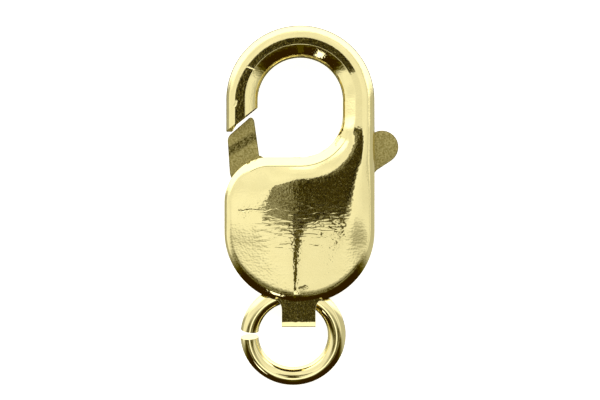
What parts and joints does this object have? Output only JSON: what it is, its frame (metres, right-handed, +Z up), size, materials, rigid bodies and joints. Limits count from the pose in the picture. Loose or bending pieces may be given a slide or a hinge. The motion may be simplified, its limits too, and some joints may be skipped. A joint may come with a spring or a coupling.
{
  "type": "lobster clasp with jump ring",
  "caption": "Hollow gilt lobster clasp with a rounded hook, a sprung side lever with a thumb tab, and an open jump ring through its folded tail strap.",
  "frame": {"origin": "middle of the bounding box, on the surface that the clasp and its ring lie on", "axes": "+Z up out of the clasp's front face, +Y from the jump ring to the hook, +X towards the thumb tab"},
  "size_m": [0.0086, 0.018, 0.0034],
  "materials": {
    "shell": "polished gold plate",
    "lever": "satin gold plate",
    "pin": "plain drawn brass",
    "ring": "bright drawn wire, gold plated"
  },
  "bodies": {
    "clasp": {"body": "shell", "pivot_pin": "pin"},
    "lever": {"lever": "lever"},
    "jump_ring": {"jump_ring": "ring"}
  },
  "joints": [
    {"name": "lever_pivot", "type": "hinge", "parent": "clasp", "child": "lever", "pos_m": [-0.00072, -0.00128, 0.0017], "axis": [0, 0, 1], "range_deg": [-26, 0], "stiffness_Nm_per_rad": 0.00001, "springref_deg": 5.73},
    {"name": "ring_swing", "type": "hinge", "parent": "clasp", "child": "jump_ring", "pos_m": [-0.00092, -0.00436, 0.0017], "axis": [1, 0, 0], "range_deg": [-60, 28]}
  ]
}
